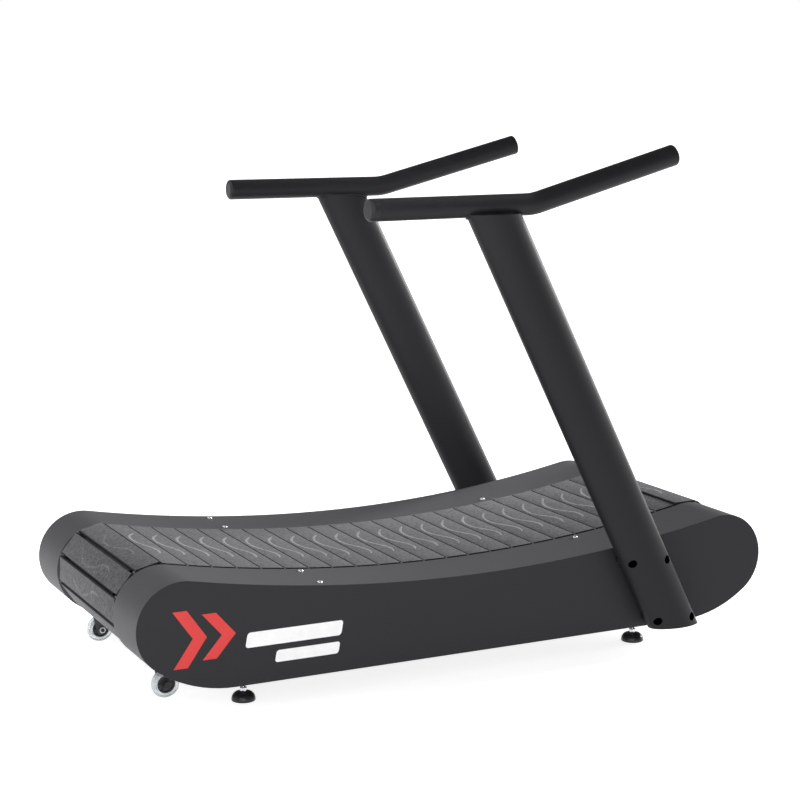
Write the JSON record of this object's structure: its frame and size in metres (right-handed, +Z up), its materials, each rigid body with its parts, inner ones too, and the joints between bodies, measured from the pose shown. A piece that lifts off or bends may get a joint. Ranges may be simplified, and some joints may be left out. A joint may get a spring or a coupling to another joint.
{
  "type": "curved manual treadmill",
  "caption": "Motorless treadmill with a slatted belt on a concave deck, a low round-ended casing and two leaning uprights with straight handlebars.",
  "frame": {"origin": "on the floor, under the middle of the machine's bounding box", "axes": "+X forward, the way the runner faces; +Y to the runner's left; +Z up"},
  "size_m": [1.8, 1.0072, 1.3463],
  "materials": {
    "frame_paint": "satin black powder coat",
    "panel_paint": "satin black powder coat",
    "skin_paint": "textured dark grey powder coat",
    "tube_paint": "satin black powder coat",
    "cap_plastic": "moulded",
    "zinc_steel": "zinc plated",
    "black_steel": "black oxide",
    "screw_chrome": "satin",
    "roller_steel": "ground",
    "drum_alloy": "machined",
    "slat_alloy": "black anodised",
    "tread_rubber": "speckled moulded rubber",
    "belt_rubber": "matt",
    "wheel_clear": "clear cast polyurethane",
    "hub_plastic": "moulded",
    "pad_rubber": "moulded",
    "stem_chrome": "polished"
  },
  "bodies": {
    "frame": {"left_rail": "frame_paint", "right_rail": "frame_paint", "cross_tubes": "frame_paint", "outrigger_tubes": "frame_paint", "left_side_panel": "panel_paint", "right_side_panel": "panel_paint", "left_skin": "skin_paint", "right_skin": "skin_paint", "left_upright": "tube_paint", "right_upright": "tube_paint", "left_handlebar": "tube_paint", "right_handlebar": "tube_paint", "rear_bar_caps": "cap_plastic", "front_bar_caps": "cap_plastic", "left_upright_plate": "frame_paint", "right_upright_plate": "frame_paint", "upright_bolts": "black_steel", "upright_washers": "zinc_steel", "skin_screws": "screw_chrome", "foot_brackets": "frame_paint", "foot_lock_nuts": "zinc_steel", "front_bearings": "frame_paint", "rear_bearings": "frame_paint", "bearing_bolts": "zinc_steel", "left_track_rollers": "roller_steel", "right_track_rollers": "roller_steel", "roller_studs": "zinc_steel", "wheel_bolts": "black_steel", "wheel_nuts": "zinc_steel"},
    "belt_top": {"top_slats": "slat_alloy", "top_treads": "tread_rubber", "top_drive_belts": "belt_rubber"},
    "front_drum": {"front_axle": "roller_steel", "front_pulleys": "drum_alloy", "front_slats": "slat_alloy", "front_treads": "tread_rubber", "front_drive_belts": "belt_rubber"},
    "rear_drum": {"rear_axle": "roller_steel", "rear_pulleys": "drum_alloy", "rear_slats": "slat_alloy", "rear_treads": "tread_rubber", "rear_drive_belts": "belt_rubber"},
    "belt_bottom": {"bottom_slats": "slat_alloy", "bottom_treads": "tread_rubber", "bottom_drive_belts": "belt_rubber"},
    "left_wheel": {"left_wheel_tyre": "wheel_clear", "left_wheel_hub": "hub_plastic", "left_wheel_bearings": "black_steel"},
    "right_wheel": {"right_wheel_tyre": "wheel_clear", "right_wheel_hub": "hub_plastic", "right_wheel_bearings": "black_steel"},
    "rear_left_foot": {"rear_left_foot_pad": "pad_rubber"},
    "rear_left_stem": {"rear_left_foot_stem": "stem_chrome"},
    "rear_right_foot": {"rear_right_foot_pad": "pad_rubber"},
    "rear_right_stem": {"rear_right_foot_stem": "stem_chrome"},
    "front_left_foot": {"front_left_foot_pad": "pad_rubber"},
    "front_left_stem": {"front_left_foot_stem": "stem_chrome"},
    "front_right_foot": {"front_right_foot_pad": "pad_rubber"},
    "front_right_stem": {"front_right_foot_stem": "stem_chrome"}
  },
  "joints": [
    {"name": "belt_top_run", "type": "hinge", "parent": "frame", "child": "belt_top", "pos_m": [0, 0, 4.23356], "axis": [0, 1, 0], "range_deg": [-0.66775, 0.28618]},
    {"name": "front_drum_turn", "type": "hinge", "parent": "frame", "child": "front_drum", "pos_m": [0.78, 0, 0.22321], "axis": [0, 1, 0], "range_deg": [-11.08, 25.84]},
    {"name": "rear_drum_turn", "type": "hinge", "parent": "frame", "child": "rear_drum", "pos_m": [-0.78, 0, 0.22321], "axis": [0, 1, 0], "range_deg": [-11.08, 25.84]},
    {"name": "belt_bottom_run", "type": "hinge", "parent": "frame", "child": "belt_bottom", "pos_m": [0, 0, 7.99662], "axis": [0, 1, 0], "range_deg": [-0.14413, 0.3363]},
    {"name": "left_wheel_spin", "type": "hinge", "parent": "frame", "child": "left_wheel", "pos_m": [-0.779, 0.27, 0.04], "axis": [0, 1, 0], "continuous": true},
    {"name": "right_wheel_spin", "type": "hinge", "parent": "frame", "child": "right_wheel", "pos_m": [-0.779, -0.27, 0.04], "axis": [0, 1, 0], "continuous": true},
    {"name": "rear_left_foot_level", "type": "slide", "parent": "frame", "child": "rear_left_foot", "axis": [0, 0, 1], "range_m": [-0.025, 0.01]},
    {"name": "rear_left_stem_turn", "type": "hinge", "parent": "rear_left_foot", "child": "rear_left_stem", "pos_m": [-0.609, 0.364, 0.06], "axis": [0, 0, 1], "continuous": true},
    {"name": "rear_right_foot_level", "type": "slide", "parent": "frame", "child": "rear_right_foot", "axis": [0, 0, 1], "range_m": [-0.025, 0.01]},
    {"name": "rear_right_stem_turn", "type": "hinge", "parent": "rear_right_foot", "child": "rear_right_stem", "pos_m": [-0.609, -0.364, 0.06], "axis": [0, 0, 1], "continuous": true},
    {"name": "front_left_foot_level", "type": "slide", "parent": "frame", "child": "front_left_foot", "axis": [0, 0, 1], "range_m": [-0.025, 0.01]},
    {"name": "front_left_stem_turn", "type": "hinge", "parent": "front_left_foot", "child": "front_left_stem", "pos_m": [0.527, 0.364, 0.06], "axis": [0, 0, 1], "continuous": true},
    {"name": "front_right_foot_level", "type": "slide", "parent": "frame", "child": "front_right_foot", "axis": [0, 0, 1], "range_m": [-0.025, 0.01]},
    {"name": "front_right_stem_turn", "type": "hinge", "parent": "front_right_foot", "child": "front_right_stem", "pos_m": [0.527, -0.364, 0.06], "axis": [0, 0, 1], "continuous": true}
  ],
  "couplings": [
    {"joint": "front_drum_turn", "follows": "belt_top_run", "ratio": -38.665},
    {"joint": "rear_drum_turn", "follows": "belt_top_run", "ratio": -38.665},
    {"joint": "belt_bottom_run", "follows": "belt_top_run", "ratio": -0.50313},
    {"joint": "rear_left_stem_turn", "follows": "rear_left_foot_level", "rad_per_m": 3590.4},
    {"joint": "rear_right_stem_turn", "follows": "rear_right_foot_level", "rad_per_m": 3590.4},
    {"joint": "front_left_stem_turn", "follows": "front_left_foot_level", "rad_per_m": 3590.4},
    {"joint": "front_right_stem_turn", "follows": "front_right_foot_level", "rad_per_m": 3590.4}
  ]
}
